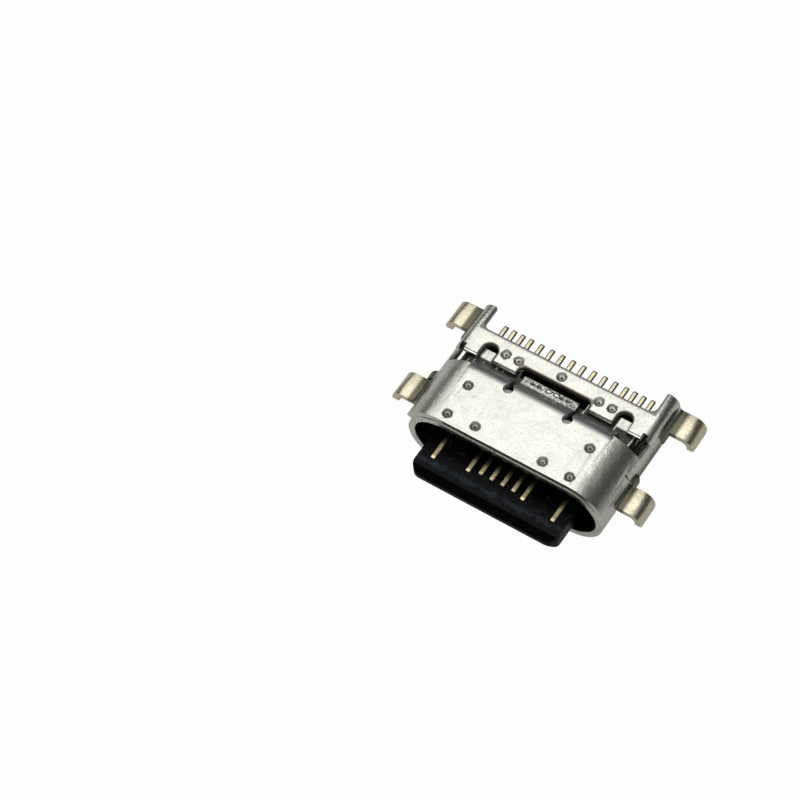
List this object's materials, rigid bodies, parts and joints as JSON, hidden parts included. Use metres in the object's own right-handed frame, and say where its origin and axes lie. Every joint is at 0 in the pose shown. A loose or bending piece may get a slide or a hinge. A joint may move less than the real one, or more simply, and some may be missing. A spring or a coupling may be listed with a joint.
{
  "type": "usb-c socket",
  "caption": "Mid-mount USB-C socket: stepped drawn tube, stamped cover with flared solder legs, projecting tongue, and one row of solder tails.",
  "frame": {"origin": "centre of the mouth, in the plane of its rim, on the tongue's mid-plane", "axes": "+X along the contact rows, +Y from the mouth towards the solder tails, +Z from the tongue towards the side that carries the cover and the solder legs"},
  "size_m": [0.0114, 0.0076, 0.0034],
  "materials": {
    "plated_steel": "nickel-plated stamped steel with a satin face",
    "black_moulding": "moulded black engineering plastic",
    "gold_contact": "gold-plated copper alloy"
  },
  "bodies": {
    "root": {"inner_shell": "plated_steel", "outer_shell": "plated_steel", "tongue_moulding": "black_moulding", "upper_contact_block": "black_moulding", "lower_contact_block": "black_moulding", "shield_plate": "plated_steel", "contact_a1": "gold_contact", "contact_b12": "gold_contact", "contact_a4": "gold_contact", "contact_b9": "gold_contact", "contact_b8": "gold_contact", "contact_a5": "gold_contact", "contact_b7": "gold_contact", "contact_a6": "gold_contact", "contact_a7": "gold_contact", "contact_b6": "gold_contact", "contact_a8": "gold_contact", "contact_b5": "gold_contact", "contact_b4": "gold_contact", "contact_a9": "gold_contact", "contact_b1": "gold_contact", "contact_a12": "gold_contact"}
  },
  "joints": []
}
